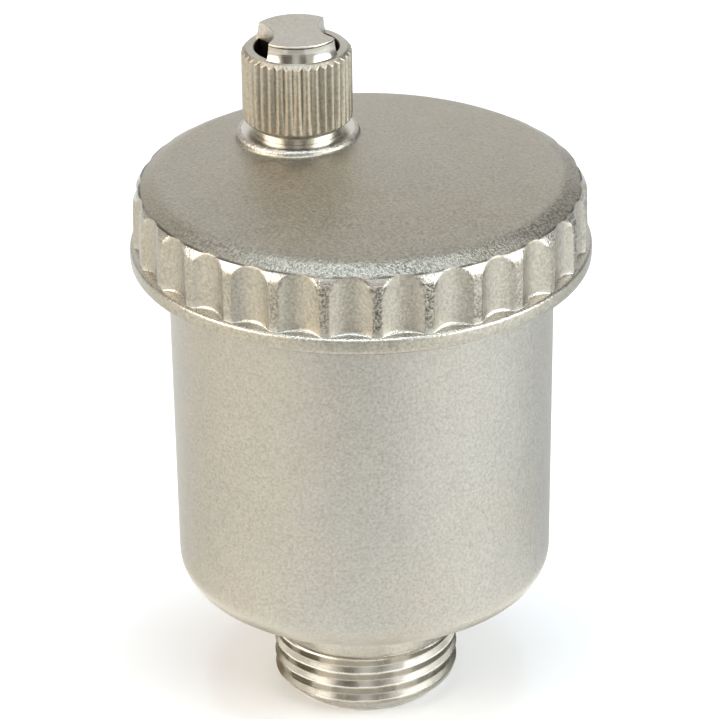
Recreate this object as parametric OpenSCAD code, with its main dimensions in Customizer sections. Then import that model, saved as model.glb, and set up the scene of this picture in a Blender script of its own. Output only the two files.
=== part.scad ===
// Automatic float air vent: a plated brass cup with a fluted screw cover and a knurled vent cap.
// Millimetres, +Z up, origin on the axis at the end face of the inlet thread, vent spigot towards -X.

/* [Inlet] */
// Major diameter of the inlet thread (G 1/2)
thread_d = 20.955; // [20:0.005:22]
// Length of the inlet thread
thread_len = 8.1; // [6:0.1:14]
// Lead chamfer on the end of the thread
thread_chamfer = 1.8; // [0.6:0.1:2]
// Diameter of the neck above the thread
neck_d = 21.7; // [21:0.1:26]
// Length of the neck
neck_len = 5.9; // [3:0.1:12]
// Bore of the inlet
inlet_bore_d = 15; // [11:0.1:15.5]

/* [Body] */
// Outside diameter of the cup at its top
body_d = 42.9; // [42.2:0.1:46]
// Radius lost from the top of the cup to its bottom
body_draft = 0.35; // [0:0.05:1]
// Height of the cup from its underside to the cover
body_h = 39.6; // [34:0.1:60]
// Radius of the outer bottom corner
body_corner_r = 3.7; // [2:0.1:8]
// Radius of the inner bottom corner
chamber_corner_r = 2; // [0.5:0.1:4]
// Thickness of the floor
body_floor = 2.6; // [1.6:0.1:4]
// Width of the cup's shoulder round the cover's thread
screw_shoulder = 1.45; // [1:0.05:1.8]
// Wall between that thread and the float chamber
screw_wall = 1.6; // [1.3:0.05:2]
// Length of that thread above the cup's shoulder
screw_len = 5.7; // [4:0.1:10]
// Chamfer on the rim
rim_chamfer = 0.4; // [0.1:0.05:0.6]

/* [Cover] */
// Diameter of the lip under the flutes
lip_d = 51.2; // [49.5:0.1:56]
// Height of the lip
lip_h = 2; // [1.4:0.1:2.6]
// Radius under the lip
lip_fillet = 0.7; // [0.2:0.1:1]
// Chamfer on the lip's upper edge
lip_chamfer = 0.25; // [0.05:0.05:0.35]
// Diameter over the lands between the flutes
land_d = 50.3; // [48.6:0.1:55]
// Width of the steep bevel above the flutes
lower_bevel_w = 0.7; // [0.3:0.05:1.2]
// Height of the steep bevel
lower_bevel_h = 1.9; // [1:0.05:2.4]
// Width of the flat bevel round the domed top
upper_bevel_w = 1.93; // [1:0.01:3]
// Height of the flat bevel
upper_bevel_h = 1.08; // [0.6:0.02:1.6]
// Slope of the domed top where it meets the bevels, in degrees
dome_slope = 7; // [2:0.5:10]
// Thickness of the top where the dome meets the bevels
top_wall = 2.68; // [2.2:0.02:4]
// Number of flutes
flute_count = 28; // [20:1:30]
// Radius of a flute
flute_r = 3.75; // [2.6:0.05:5]
// Depth of a flute under the lands
flute_depth = 0.85; // [0.3:0.05:1.2]
// Depth of a flute's floor in the top of the lip
flute_sink = 0.12; // [0.05:0.01:0.2]
// Turn of the flute pattern about the axis, in degrees
flute_phase = 10.6; // [0:0.1:18]

/* [Cover seal] */
// Section diameter of the O-ring
o_ring_d = 1.6; // [1.2:0.05:1.8]
// Height left for the O-ring between the rim and the cover
o_ring_h = 1.4; // [1:0.05:1.55]

/* [Vent spigot] */
// Diameter of the spot-faced boss
boss_d = 13.8; // [12.6:0.1:15]
// Rise of the boss above the middle of the dome
boss_rise = 0.45; // [0.2:0.05:1.5]
// Bevel round the boss
boss_chamfer = 0.5; // [0.2:0.05:0.8]
// Diameter of the turned collar
collar_d = 10.1; // [9:0.1:11]
// Height of the collar
collar_h = 0.85; // [0.5:0.05:4]
// Chamfer on the turned edges
edge_chamfer = 0.25; // [0.1:0.05:0.4]
// Diameter of the spigot's thread
spigot_d = 7.9; // [7.2:0.1:8.4]
// Bore of the spigot, which holds the spring
spring_bore_d = 4.6; // [4.3:0.1:5]
// Bore that guides the stem through the cover
guide_d = 2.2; // [2:0.05:2.4]

/* [Vent cap] */
// Diameter over the knurl
cap_d = 12.3; // [11.6:0.1:14]
// Height of the knurled sleeve
cap_h = 8.65; // [7:0.05:12]
// Gap between the collar and the sleeve
cap_gap = 0.3; // [0.2:0.05:2]
// Number of knurl teeth
knurl_count = 36; // [24:1:60]
// Depth of the knurl
knurl_depth = 0.35; // [0.1:0.05:0.45]
// Turn of the knurl about the cap's axis, in degrees
knurl_phase = 2.9; // [0:0.1:10]
// Chamfer at both ends of the knurl
cap_chamfer = 0.5; // [0.2:0.05:0.8]
// Diameter of the plug's shank in the sleeve
plug_d = 9.4; // [8.8:0.1:10]
// Depth of the plug's seat in the sleeve
plug_seat = 2; // [1:0.1:3]
// Diameter of the plug's head at its top
head_d = 9.7; // [9.4:0.1:10.2]
// Radius that the head gains from its top to the sleeve
head_flare = 0.35; // [0:0.05:0.4]
// Height of the head above the sleeve
head_h = 1.88; // [0.8:0.02:3]
// Radius of the plug's two scallops
scallop_r = 4.8; // [3:0.1:8]
// Distance from the plug's axis to the bottom of a scallop
scallop_reach = 2.6; // [1.8:0.1:3.4]
// Direction of the scallops, in degrees
scallop_angle = 62.8; // [0:0.1:179]
// Diameter of the rubber washer under the plug
washer_d = 6.6; // [5.4:0.1:7.2]
// Thickness of the washer
washer_t = 0.8; // [0.5:0.1:1.5]

/* [Valve] */
// Diameter of the pressed-in seat
seat_d = 4.8; // [4:0.1:5]
// Bore of the seat
seat_bore_d = 2.4; // [2.2:0.05:2.8]
// Rise of the seat's nozzle below the cover's ceiling
seat_rise = 0.8; // [0.5:0.05:1.5]
// Diameter of the nozzle's sealing face
nozzle_d = 3.6; // [3.2:0.1:4]
// Depth of the seat in the cover
seat_depth = 1.7; // [1:0.1:2]
// Diameter of the stem
stem_d = 1.4; // [1:0.05:1.5]
// Diameter of the stem's flange and of its seal
seal_d = 4; // [3.7:0.1:4.4]
// Thickness of the seal
seal_t = 0.9; // [0.5:0.05:1.5]
// Thickness of the flange
flange_t = 0.7; // [0.4:0.05:1]
// Outside diameter of the spring
spring_d = 3.6; // [3:0.1:3.8]
// Diameter of the spring's wire
spring_wire = 0.36; // [0.2:0.02:0.5]
// Turns of the spring
spring_turns = 5.5; // [3:0.5:7]
// Diameter of the clip on top of the stem
retainer_d = 3.9; // [3.4:0.1:4]
// Thickness of that clip
retainer_t = 0.5; // [0.3:0.05:0.8]
// Depth of the stem's groove for that clip
stem_groove = 0.25; // [0.15:0.05:0.35]
// Stem left above the clip
stem_tip = 0.2; // [0.1:0.05:0.5]

/* [Lever] */
// Distance from the pivot to the stem
link_arm = 4.5; // [4.3:0.1:4.8]
// Distance from the pivot to the chamber's wall
pivot_inset = 2.8; // [2.5:0.1:3.2]
// Swing of the lever over the float's travel, in degrees
lever_swing_angle = 19.4; // [14:0.2:20]
// Height of the lever's cheeks
lever_h = 2.2; // [2:0.1:2.5]
// Sheet thickness of the lever
lever_sheet = 0.5; // [0.3:0.05:0.5]
// Gap between the lever's cheeks
cheek_gap = 1.5; // [1.4:0.05:1.6]
// Diameter of the pivot pin
pivot_pin_d = 1.4; // [1:0.05:1.5]
// Diameter of the two link pins
link_pin_d = 1; // [0.8:0.05:1.1]
// Length of the web that joins the cheeks
web_len = 5; // [3:0.1:6]
// Sheet thickness of the bracket
bracket_sheet = 0.7; // [0.5:0.05:0.8]
// Length of the bracket's plate across the lever
bracket_len = 11.8; // [11.4:0.1:12.6]
// Width of the bracket's plate along the lever
bracket_w = 3.6; // [3.4:0.1:3.8]
// Distance between the bracket's screws
screw_spacing = 8.6; // [8.2:0.1:9]
// Head diameter of the bracket's screws
screw_head_d = 2.8; // [2.4:0.1:3]
// Head height of the bracket's screws
screw_head_h = 1; // [0.7:0.1:1.2]
// Shank diameter of the bracket's screws
screw_shank_d = 1.6; // [1.2:0.1:1.7]
// Depth of the bracket's screws in the cover
screw_depth = 1.5; // [1:0.1:1.8]

/* [Float] */
// Gap between the float and the chamber's wall
float_side_gap = 1.6; // [1.2:0.1:3]
// Wall of the float
float_wall = 1; // [0.7:0.1:1.5]
// Radius of the float's bottom corner
float_corner_r = 3; // [2:0.1:6]
// Gap between the float and the chamber's floor
float_floor_gap = 2.2; // [1:0.1:6]
// Thickness of the float's lid
lid_t = 1.6; // [1.2:0.1:2.5]
// Depth of the lid's rim inside the float
lid_rim_h = 1.2; // [0.8:0.1:3]
// Diameter of the boss in the middle of the lid
lid_boss_d = 6; // [4:0.1:7]
// Height of that boss
lid_boss_h = 1.2; // [0.6:0.1:1.4]
// Width of the float's eye along the lever
eye_w = 2.2; // [1.8:0.1:2.4]
// Diameter of the eye's peg in the lid
eye_peg_d = 2; // [1.2:0.1:2.2]

/* [Clearances] */
// Radial gap of the screwed-on cover and cap
screw_gap = 0.15; // [0.1:0.01:0.3]
// Radial gap of pressed pieces
press_gap = 0.02; // [0.01:0.01:0.04]
// Radial gap of the lever on its pivot
pivot_gap = 0.1; // [0.05:0.01:0.15]
// Gap round the link pins in the lever's slots
link_gap = 0.2; // [0.15:0.01:0.25]
// Gap between pieces that pass each other
pass_gap = 0.35; // [0.25:0.05:0.45]
// Gap left between seal and seat with the float up
seal_gap = 0.02; // [0.01:0.01:0.05]

/* [Hidden] */
$fn = 64;

// Finishes
nickel_cast = [0.76, 0.74, 0.70];
nickel_turned = [0.82, 0.80, 0.75];
brass = [0.80, 0.66, 0.36];
steel = [0.70, 0.71, 0.73];
rubber = [0.10, 0.10, 0.11];
plastic = [0.90, 0.89, 0.84];

// Segments of a profile's round stretches, and sides and steps of the spring's wire
arc_steps = 8;
wire_sides = 8;
steps_per_turn = 14;

// Radii
thread_r = thread_d / 2;
neck_r = neck_d / 2;
inlet_bore_r = inlet_bore_d / 2;
body_r = body_d / 2;
body_low_r = body_r - body_draft;
screw_r = body_r - screw_shoulder;
chamber_r = screw_r - screw_wall;
screw_bore_r = screw_r + screw_gap;
lip_r = lip_d / 2;
land_r = land_d / 2;
boss_r = boss_d / 2;
collar_r = collar_d / 2;
spigot_r = spigot_d / 2;
cap_r = cap_d / 2;
plug_r = plug_d / 2;
head_r = head_d / 2;
stem_r = stem_d / 2;
stem_groove_r = stem_r - stem_groove;
seal_r = seal_d / 2;
float_r = chamber_r - float_side_gap;

// Levels of the body
z_neck = thread_len;
z_bottom = z_neck + neck_len;
z_floor = z_bottom + body_floor;
z_shoulder = z_bottom + body_h;
z_rim = z_shoulder + screw_len;

// Levels of the cover
z_ledge = z_shoulder + lip_h;
z_ceiling = z_rim + o_ring_h;
z_land = z_ceiling + top_wall - lower_bevel_h - upper_bevel_h;
crease_r = land_r - lower_bevel_w;
dome_edge_r = crease_r - upper_bevel_w;
dome_r = dome_edge_r / sin(dome_slope);
z_crown = z_ceiling + top_wall + dome_r * (1 - cos(dome_slope));

// Levels of the spigot and the cap
vent_offset = chamber_r - pivot_inset - link_arm;
vent_x = -vent_offset;
z_boss = z_crown + boss_rise;
z_collar = z_boss + collar_h;
z_cap = z_collar + cap_gap;
z_cap_top = z_cap + cap_h;
z_plug = z_cap_top - plug_seat;
z_mouth = z_plug - washer_t;

// Lever linkage: level with the pivot halfway through its swing, drawn with the float down
half_swing = lever_swing_angle / 2;
float_arm = vent_offset + link_arm;
pivot_x = vent_x - link_arm;
stem_travel = 2 * link_arm * sin(half_swing);
float_travel = 2 * float_arm * sin(half_swing);
slot_play = float_arm * (1 - cos(half_swing));

// Levels of the valve, from the seat downwards
z_seat = z_ceiling - seat_rise;
z_seal_top = z_seat - seal_gap - stem_travel;
z_flange = z_seal_top - seal_t - flange_t;
z_link = z_flange - lever_h / 2 - seal_r * sin(half_swing) - link_gap;
z_pivot = z_link + stem_travel / 2;
z_eye = z_pivot - float_travel / 2;
z_retainer = z_mouth - seal_gap - stem_travel - stem_tip - retainer_t - link_gap;

// Bracket: plate under the ceiling, ears either side of the lever
ear_y = cheek_gap / 2 + lever_sheet + pass_gap;
ear_r = pivot_pin_d / 2 + bracket_sheet;
z_plate = z_ceiling - bracket_sheet;
clip_t = bracket_sheet;
pivot_pin_len = 2 * (ear_y + bracket_sheet + clip_t + link_gap);
clip_r = pivot_pin_d / 2 + clip_t;
link_pin_len = cheek_gap + 2 * lever_sheet + 2 * link_gap;
tongue_t = cheek_gap - 2 * link_gap;

// Float: hangs on the lever, clear of the bracket's ears when it is up
z_float_top = z_pivot - ear_r - pass_gap - float_travel;
z_float_bottom = z_floor + float_floor_gap;
z_lid = z_float_top - lid_t;

// Points of an arc about (x, y), from one angle to another
function arc(x, y, r, from, to) =
    [for (i = [0 : arc_steps]) let (a = from + (to - from) * i / arc_steps) [x + r * cos(a), y + r * sin(a)]];

// Solid of revolution from points given as radius and height
module turned(points) {
    rotate_extrude($fn = 96)
        polygon(points);
}

// Flat outline drawn in X and Z, as thick as stated and centred on Y
module plate_xz(thickness) {
    rotate([90, 0, 0])
        linear_extrude(thickness, center = true)
            children();
}

// Round-ended slot, its centres a length apart
module slot(length, r) {
    square([length, 2 * r], center = true);
    for (side = [-1, 1])
        translate([side * length / 2, 0])
            circle(r);
}

// Pin along Y, chamfered at both ends
module cross_pin(d, length) {
    chamfer = d / 8;
    rotate([90, 0, 0])
        translate([0, 0, -length / 2])
            turned([[0, 0], [d / 2 - chamfer, 0], [d / 2, chamfer],
                    [d / 2, length - chamfer], [d / 2 - chamfer, length], [0, length]]);
}

// Cup with a rounded bottom, the neck and inlet thread below and the cover's thread above
module body() {
    color(nickel_cast)
        turned(concat(
            [[inlet_bore_r, 0], [thread_r - thread_chamfer, 0], [thread_r, thread_chamfer],
             [thread_r, z_neck], [neck_r, z_neck], [neck_r, z_bottom]],
            arc(body_low_r - body_corner_r, z_bottom + body_corner_r, body_corner_r, -90, 0),
            [[body_r, z_shoulder], [screw_r, z_shoulder], [screw_r, z_rim - rim_chamfer],
             [screw_r - rim_chamfer, z_rim], [chamber_r, z_rim]],
            arc(chamber_r - chamber_corner_r, z_floor + chamber_corner_r, chamber_corner_r, 0, -90),
            [[inlet_bore_r, z_floor]]));
}

// Outline of the cover before its flutes are cut
function cover_points() = concat(
    [[screw_bore_r, z_shoulder]],
    arc(lip_r - lip_fillet, z_shoulder + lip_fillet, lip_fillet, -90, 0),
    [[lip_r, z_ledge - lip_chamfer], [lip_r - lip_chamfer, z_ledge], [land_r, z_ledge],
     [land_r, z_land], [crease_r, z_land + lower_bevel_h]],
    arc(0, z_crown - dome_r, dome_r, 90 - dome_slope, 90),
    [[0, z_ceiling], [screw_bore_r, z_ceiling]]);

// Concave flutes, which stand on the lip and run out through the bevels
module flutes() {
    for (i = [0 : flute_count - 1])
        rotate(flute_phase + i * 360 / flute_count)
            translate([land_r - flute_depth + flute_r, 0, z_ledge - flute_sink])
                cylinder(r = flute_r, h = z_crown - z_ledge);
}

// Bevelled boss, collar and spigot, turned about the vent's own axis
module spigot() {
    translate([vent_x, 0, 0])
        turned([[0, z_ceiling + top_wall / 2], [boss_r, z_ceiling + top_wall / 2], [boss_r, z_boss - boss_chamfer],
                [boss_r - boss_chamfer, z_boss], [collar_r, z_boss], [collar_r, z_collar], [spigot_r, z_collar],
                [spigot_r, z_mouth - edge_chamfer], [spigot_r - edge_chamfer, z_mouth], [0, z_mouth]]);
}

// Stepped passage for the seat, the stem and its spring
module vent_passage() {
    margin = 1;
    translate([vent_x, 0, 0])
        turned([[0, z_ceiling - margin], [seat_d / 2, z_ceiling - margin], [seat_d / 2, z_ceiling + seat_depth],
                [guide_d / 2, z_ceiling + seat_depth], [guide_d / 2, z_boss], [spring_bore_d / 2, z_boss],
                [spring_bore_d / 2, z_mouth + margin], [0, z_mouth + margin]]);
}

// Places of the bracket's two screws
module at_screws() {
    for (side = [-1, 1])
        translate([pivot_x, side * screw_spacing / 2, 0])
            children();
}

// Fluted screw cover with a domed top and the spigot in one piece
module cover() {
    color(nickel_cast)
        difference() {
            union() {
                difference() {
                    turned(cover_points());
                    flutes();
                }
                spigot();
            }
            vent_passage();
            at_screws()
                translate([0, 0, z_plate])
                    cylinder(d = screw_shank_d + 2 * press_gap, h = bracket_sheet + screw_depth + press_gap);
        }
}

// O-ring pressed flat between the body's rim and the cover
module cover_o_ring() {
    color(rubber)
        rotate_extrude($fn = 96)
            translate([(chamber_r + screw_r) / 2, z_rim + o_ring_h / 2])
                intersection() {
                    circle(d = o_ring_d, $fn = 32);
                    square([2 * o_ring_d, o_ring_h], center = true);
                }
}

// Outline of the straight knurl: a flat crest and a sharp root for each tooth
function knurl_points() =
    let (root_r = cap_r - knurl_depth, step = 360 / knurl_count, crest = step / 6)
    [for (i = [0 : knurl_count - 1]) let (a = knurl_phase + i * step)
        each [[cap_r * cos(a - crest), cap_r * sin(a - crest)],
              [cap_r * cos(a + crest), cap_r * sin(a + crest)],
              [root_r * cos(a + step / 2), root_r * sin(a + step / 2)]]];

// Knurled sleeve, bored for the spigot and counterbored for the plug
module vent_cap() {
    margin = 1;
    color(nickel_turned)
        translate([vent_x, 0, 0])
            difference() {
                intersection() {
                    translate([0, 0, z_cap])
                        linear_extrude(cap_h)
                            polygon(knurl_points());
                    turned([[0, z_cap], [cap_r - cap_chamfer, z_cap], [cap_r + cap_chamfer, z_cap + 2 * cap_chamfer],
                            [cap_r + cap_chamfer, z_cap_top - 2 * cap_chamfer], [cap_r - cap_chamfer, z_cap_top],
                            [0, z_cap_top]]);
                }
                turned([[0, z_cap - margin], [spigot_r + screw_gap, z_cap - margin], [spigot_r + screw_gap, z_plug],
                        [plug_r + press_gap, z_plug], [plug_r + press_gap, z_cap_top + margin],
                        [0, z_cap_top + margin]]);
            }
}

// Headed plug that closes the sleeve, with two opposite scallops for the air
module cap_plug() {
    margin = 1;
    z_top = z_cap_top + head_h;
    color(nickel_turned)
        translate([vent_x, 0, 0])
            difference() {
                turned([[0, z_plug], [plug_r, z_plug], [plug_r, z_cap_top], [head_r + head_flare, z_cap_top],
                        [head_r, z_top - edge_chamfer], [head_r - edge_chamfer, z_top], [0, z_top]]);
                for (turn = [0, 180])
                    rotate(scallop_angle + turn)
                        translate([scallop_reach + scallop_r, 0, z_plug - margin])
                            cylinder(r = scallop_r, h = plug_seat + head_h + 2 * margin);
            }
}

// Rubber washer that the plug presses on the spigot's mouth
module cap_washer() {
    color(rubber)
        translate([vent_x, 0, z_mouth])
            cylinder(d = washer_d, h = washer_t);
}

// Brass seat pressed into the cover, with a nozzle that the seal meets
module valve_seat() {
    seat_r = seat_d / 2 - press_gap;
    color(brass)
        translate([vent_x, 0, 0])
            turned([[seat_bore_d / 2, z_seat], [nozzle_d / 2, z_seat], [seat_r, z_ceiling],
                    [seat_r, z_ceiling + seat_depth], [seat_bore_d / 2, z_ceiling + seat_depth]]);
}

// Stem with its flange, a groove for the clip on top and a flat tongue for the lever below
module obturator_stem() {
    tip_top = z_retainer + retainer_t + stem_tip;
    tongue_w = 2 * stem_r;
    tongue_end = link_pin_d / 2 + lever_sheet;
    color(brass)
        translate([vent_x, 0, 0])
            difference() {
                union() {
                    turned([[0, z_flange], [seal_r, z_flange], [seal_r, z_flange + flange_t],
                            [stem_r, z_flange + flange_t], [stem_r, z_retainer], [stem_groove_r, z_retainer],
                            [stem_groove_r, z_retainer + retainer_t], [stem_r, z_retainer + retainer_t],
                            [stem_r, tip_top], [0, tip_top]]);
                    plate_xz(tongue_t)
                        translate([0, z_link]) {
                            circle(tongue_end);
                            translate([-tongue_w / 2, 0])
                                square([tongue_w, z_flange + flange_t / 2 - z_link]);
                        }
                }
                translate([0, 0, z_link])
                    rotate([90, 0, 0])
                        cylinder(d = link_pin_d + 2 * press_gap, h = 2 * cheek_gap, center = true);
            }
}

// Rubber disc that lies on the stem's flange
module obturator_seal() {
    color(rubber)
        translate([vent_x, 0, z_seal_top - seal_t])
            difference() {
                cylinder(r = seal_r, h = seal_t);
                translate([0, 0, -seal_t])
                    cylinder(r = stem_r + press_gap, h = 3 * seal_t);
            }
}

// Rings of points round the spring's wire, one for each step along the coil
function spring_points(coil_r, wire_r, height, steps) =
    [for (i = [0 : steps]) let (a = i * 360 / steps_per_turn)
        for (k = [0 : wire_sides - 1]) let (b = k * 360 / wire_sides, r = coil_r + wire_r * cos(b))
            [r * cos(a), r * sin(a), wire_r + height * i / steps + wire_r * sin(b)]];

// Faces between those rings, and the two ends
function spring_faces(steps) = concat(
    [[for (k = [wire_sides - 1 : -1 : 0]) k]],
    [for (i = [0 : steps - 1]) for (k = [0 : wire_sides - 1]) let (m = (k + 1) % wire_sides)
        [i * wire_sides + k, i * wire_sides + m, (i + 1) * wire_sides + m, (i + 1) * wire_sides + k]],
    [[for (k = [0 : wire_sides - 1]) steps * wire_sides + k]]);

// Compression spring between the spigot's floor and the clip on the stem
module stem_spring() {
    steps = spring_turns * steps_per_turn;
    wire_r = spring_wire / 2;
    height = z_retainer - z_boss - spring_wire - 2 * press_gap;
    color(steel)
        translate([vent_x, 0, z_boss + press_gap])
            polyhedron(spring_points(spring_d / 2 - wire_r, wire_r, height, steps), spring_faces(steps));
}

// Clip in the stem's groove that the spring pushes up
module spring_retainer() {
    color(steel)
        translate([vent_x, 0, z_retainer])
            difference() {
                cylinder(d = retainer_d, h = retainer_t);
                translate([0, 0, -retainer_t])
                    cylinder(r = stem_groove_r + press_gap, h = 3 * retainer_t);
            }
}

// Pin through the stem's tongue and the lever
module stem_link_pin() {
    color(steel)
        translate([vent_x, 0, z_link])
            cross_pin(link_pin_d, link_pin_len);
}

// Side of the lever, with its pivot hole and two slots
module lever_side() {
    slot_r = link_pin_d / 2 + link_gap;
    difference() {
        union() {
            translate([float_arm / 2, 0])
                slot(float_arm, lever_h / 2);
            circle(ear_r);
        }
        circle(pivot_pin_d / 2 + pivot_gap);
        translate([link_arm, 0])
            slot(2 * slot_play, slot_r);
        translate([float_arm, 0])
            slot(2 * slot_play, slot_r);
    }
}

// Sheet channel: two cheeks joined by a web between the stem and the float
module lever() {
    web_x = (link_arm + seal_r + float_arm - eye_w) / 2 - web_len / 2;
    color(steel)
        translate([pivot_x, 0, z_pivot])
            rotate([0, half_swing, 0]) {
                for (side = [-1, 1])
                    translate([0, side * (cheek_gap + lever_sheet) / 2, 0])
                        plate_xz(lever_sheet)
                            lever_side();
                translate([web_x, -cheek_gap / 2, lever_h / 2 - lever_sheet])
                    cube([web_len, cheek_gap, lever_sheet]);
            }
}

// Folded bracket: a plate under the ceiling, with an ear on each side of the lever
module lever_bracket() {
    color(steel)
        difference() {
            union() {
                intersection() {
                    translate([pivot_x - bracket_w / 2, -bracket_len / 2, z_plate])
                        cube([bracket_w, bracket_len, bracket_sheet]);
                    translate([0, 0, z_plate - bracket_sheet])
                        cylinder(r = chamber_r - pass_gap, h = 3 * bracket_sheet);
                }
                for (side = [-1, 1])
                    translate([pivot_x, side * (ear_y + bracket_sheet / 2), 0])
                        plate_xz(bracket_sheet) {
                            translate([0, z_pivot])
                                circle(ear_r);
                            translate([-ear_r, z_pivot])
                                square([2 * ear_r, z_plate + bracket_sheet / 2 - z_pivot]);
                        }
            }
            translate([pivot_x, 0, z_pivot])
                rotate([90, 0, 0])
                    cylinder(d = pivot_pin_d + 2 * press_gap, h = 2 * bracket_len, center = true);
            at_screws()
                translate([0, 0, z_plate - bracket_sheet])
                    cylinder(d = screw_shank_d + 2 * press_gap, h = 3 * bracket_sheet);
        }
}

// Two slotted screws that hold the bracket to the ceiling
module bracket_screws() {
    slot_w = screw_head_d / 5;
    color(steel)
        at_screws()
            difference() {
                union() {
                    translate([0, 0, z_plate - screw_head_h])
                        cylinder(d = screw_head_d, h = screw_head_h);
                    translate([0, 0, z_plate - screw_head_h / 2])
                        cylinder(d = screw_shank_d, h = screw_head_h / 2 + bracket_sheet + screw_depth);
                }
                translate([-screw_head_d, -slot_w / 2, z_plate - screw_head_h - slot_w])
                    cube([2 * screw_head_d, slot_w, 2 * slot_w]);
            }
}

// Pin that the lever turns on
module lever_pivot_pin() {
    color(steel)
        translate([pivot_x, 0, z_pivot])
            cross_pin(pivot_pin_d, pivot_pin_len);
}

// Two clips that keep the pivot pin in the bracket's ears
module pivot_pin_clips() {
    color(steel)
        for (side = [-1, 1])
            translate([pivot_x, side * (ear_y + bracket_sheet + clip_t / 2), z_pivot])
                plate_xz(clip_t)
                    difference() {
                        circle(clip_r);
                        circle(pivot_pin_d / 2 + press_gap);
                    }
}

// Moulded hollow float, open at the top until its lid is welded on
module float_shell() {
    inner_r = float_r - float_wall;
    inner_corner_r = float_corner_r - float_wall;
    color(plastic)
        turned(concat(
            [[0, z_float_bottom]],
            arc(float_r - float_corner_r, z_float_bottom + float_corner_r, float_corner_r, -90, 0),
            [[float_r, z_lid], [inner_r, z_lid]],
            arc(inner_r - inner_corner_r, z_float_bottom + float_corner_r, inner_corner_r, 0, -90),
            [[0, z_float_bottom + float_wall]]));
}

// Lid of the float, with a rim inside the shell and a bored boss for the eye
module float_lid() {
    rim_r = float_r - float_wall - press_gap;
    peg_r = eye_peg_d / 2 + press_gap;
    z_boss_top = z_float_top + lid_boss_h;
    color(plastic)
        turned([[0, z_lid], [rim_r - float_wall, z_lid], [rim_r - float_wall, z_lid - lid_rim_h],
                [rim_r, z_lid - lid_rim_h], [rim_r, z_lid], [float_r, z_lid], [float_r, z_float_top],
                [lid_boss_d / 2, z_float_top], [lid_boss_d / 2, z_boss_top], [peg_r, z_boss_top],
                [peg_r, z_float_top - lid_t / 2], [0, z_float_top - lid_t / 2]]);
}

// Eye pegged into the lid, which hangs on the lever
module float_eye() {
    z_foot = z_float_top + lid_boss_h;
    color(brass)
        difference() {
            union() {
                translate([0, 0, z_float_top - lid_t / 2])
                    cylinder(d = eye_peg_d, h = lid_t / 2 + lid_boss_h + tongue_t / 2);
                plate_xz(tongue_t) {
                    translate([-eye_w / 2, z_foot])
                        square([eye_w, z_eye - z_foot]);
                    translate([0, z_eye])
                        circle(d = eye_w);
                }
            }
            translate([0, 0, z_eye])
                rotate([90, 0, 0])
                    cylinder(d = link_pin_d + 2 * press_gap, h = 2 * cheek_gap, center = true);
        }
}

// Pin through the float's eye and the lever
module float_link_pin() {
    color(steel)
        translate([0, 0, z_eye])
            cross_pin(link_pin_d, link_pin_len);
}

body();
cover();
cover_o_ring();
vent_cap();
cap_plug();
cap_washer();
valve_seat();
obturator_stem();
obturator_seal();
stem_spring();
spring_retainer();
stem_link_pin();
lever();
lever_bracket();
bracket_screws();
lever_pivot_pin();
pivot_pin_clips();
float_shell();
float_lid();
float_eye();
float_link_pin();
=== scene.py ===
import math

import bpy
import numpy as np
from mathutils import Matrix, Vector


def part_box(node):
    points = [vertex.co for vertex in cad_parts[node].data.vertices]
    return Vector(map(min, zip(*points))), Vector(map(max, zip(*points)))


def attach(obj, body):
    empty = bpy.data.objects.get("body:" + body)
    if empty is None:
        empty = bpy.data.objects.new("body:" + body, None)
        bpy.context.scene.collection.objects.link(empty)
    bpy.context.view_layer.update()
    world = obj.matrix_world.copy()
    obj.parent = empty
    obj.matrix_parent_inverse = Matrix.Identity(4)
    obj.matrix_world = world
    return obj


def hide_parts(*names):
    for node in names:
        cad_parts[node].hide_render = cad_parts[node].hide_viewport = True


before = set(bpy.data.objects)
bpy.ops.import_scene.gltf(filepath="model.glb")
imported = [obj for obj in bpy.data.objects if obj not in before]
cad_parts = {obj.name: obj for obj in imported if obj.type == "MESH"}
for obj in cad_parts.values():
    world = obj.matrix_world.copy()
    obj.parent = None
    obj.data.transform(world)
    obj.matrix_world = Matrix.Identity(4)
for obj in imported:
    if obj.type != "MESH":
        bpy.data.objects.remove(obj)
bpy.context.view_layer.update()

# Cup
# Hot-forged brass cup, sand-blasted and nickel-plated, with the inlet thread and the cover's thread
# turned on it afterwards. It is drawn as rings of points in millimetres, right round its wall.
MM = 0.001
BLASTED, TURNED, THREADED, CREST_HIGHLIGHT, NECK_LIT = 0, 1, 2, 3, 4
CUP_COLUMNS = 360
CUP_WALL_ROWS = 46
INLET_ROW = 0.07
COVER_THREAD_ROW = 0.1
SHARP_ANGLE = math.radians(38.0)
cup_top_r = 21.45
cup_low_r = 21.1
cup_corner_r = 3.7
cup_bottom_z = 14.0
cup_shoulder_z = 53.6
rim_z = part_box("body")[1].z / MM
rim_chamfer = 0.4
rim_outer_edge = 0.1
rim_inner_edge = 0.15
chamber_r = 18.4
chamber_corner_r = 2.0
floor_z = 16.6
neck_r = 10.85
neck_z = 8.1
neck_wall_h = 2.5
neck_edge_r = 0.2
neck_fillet_r = 0.5
inlet_bore_r = 7.5
inlet_bore_chamfer = 0.4
inlet_r = 10.4775
inlet_pitch = 1.814
inlet_depth = 0.28
inlet_start = 0.255
inlet_bend = 0.08
inlet_highlight_cut = 0.03
inlet_relief_z = 7.45
inlet_relief_run = 0.25
inlet_chamfer = 1.8
cover_thread_r = 20.0
cover_pitch = 1.5
cover_thread_depth = 0.7
corner_light_h, corner_light_run = 0.7, 2.1


def turns(columns):
    """Angles of a ring's columns."""
    return np.arange(columns) * 2.0 * np.pi / columns


def ramp(value, start, run):
    """Share from 0 at a start to 1 a run beyond it."""
    return np.clip((value - start) / run, 0.0, 1.0)


def ring(angles, radius, height, centre_x=0.0):
    """One closed ring of points round a vertical axis."""
    r = np.broadcast_to(radius, angles.shape)
    z = np.broadcast_to(height, angles.shape)
    return np.stack([centre_x + r * np.cos(angles), r * np.sin(angles), z], axis=1)


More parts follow.
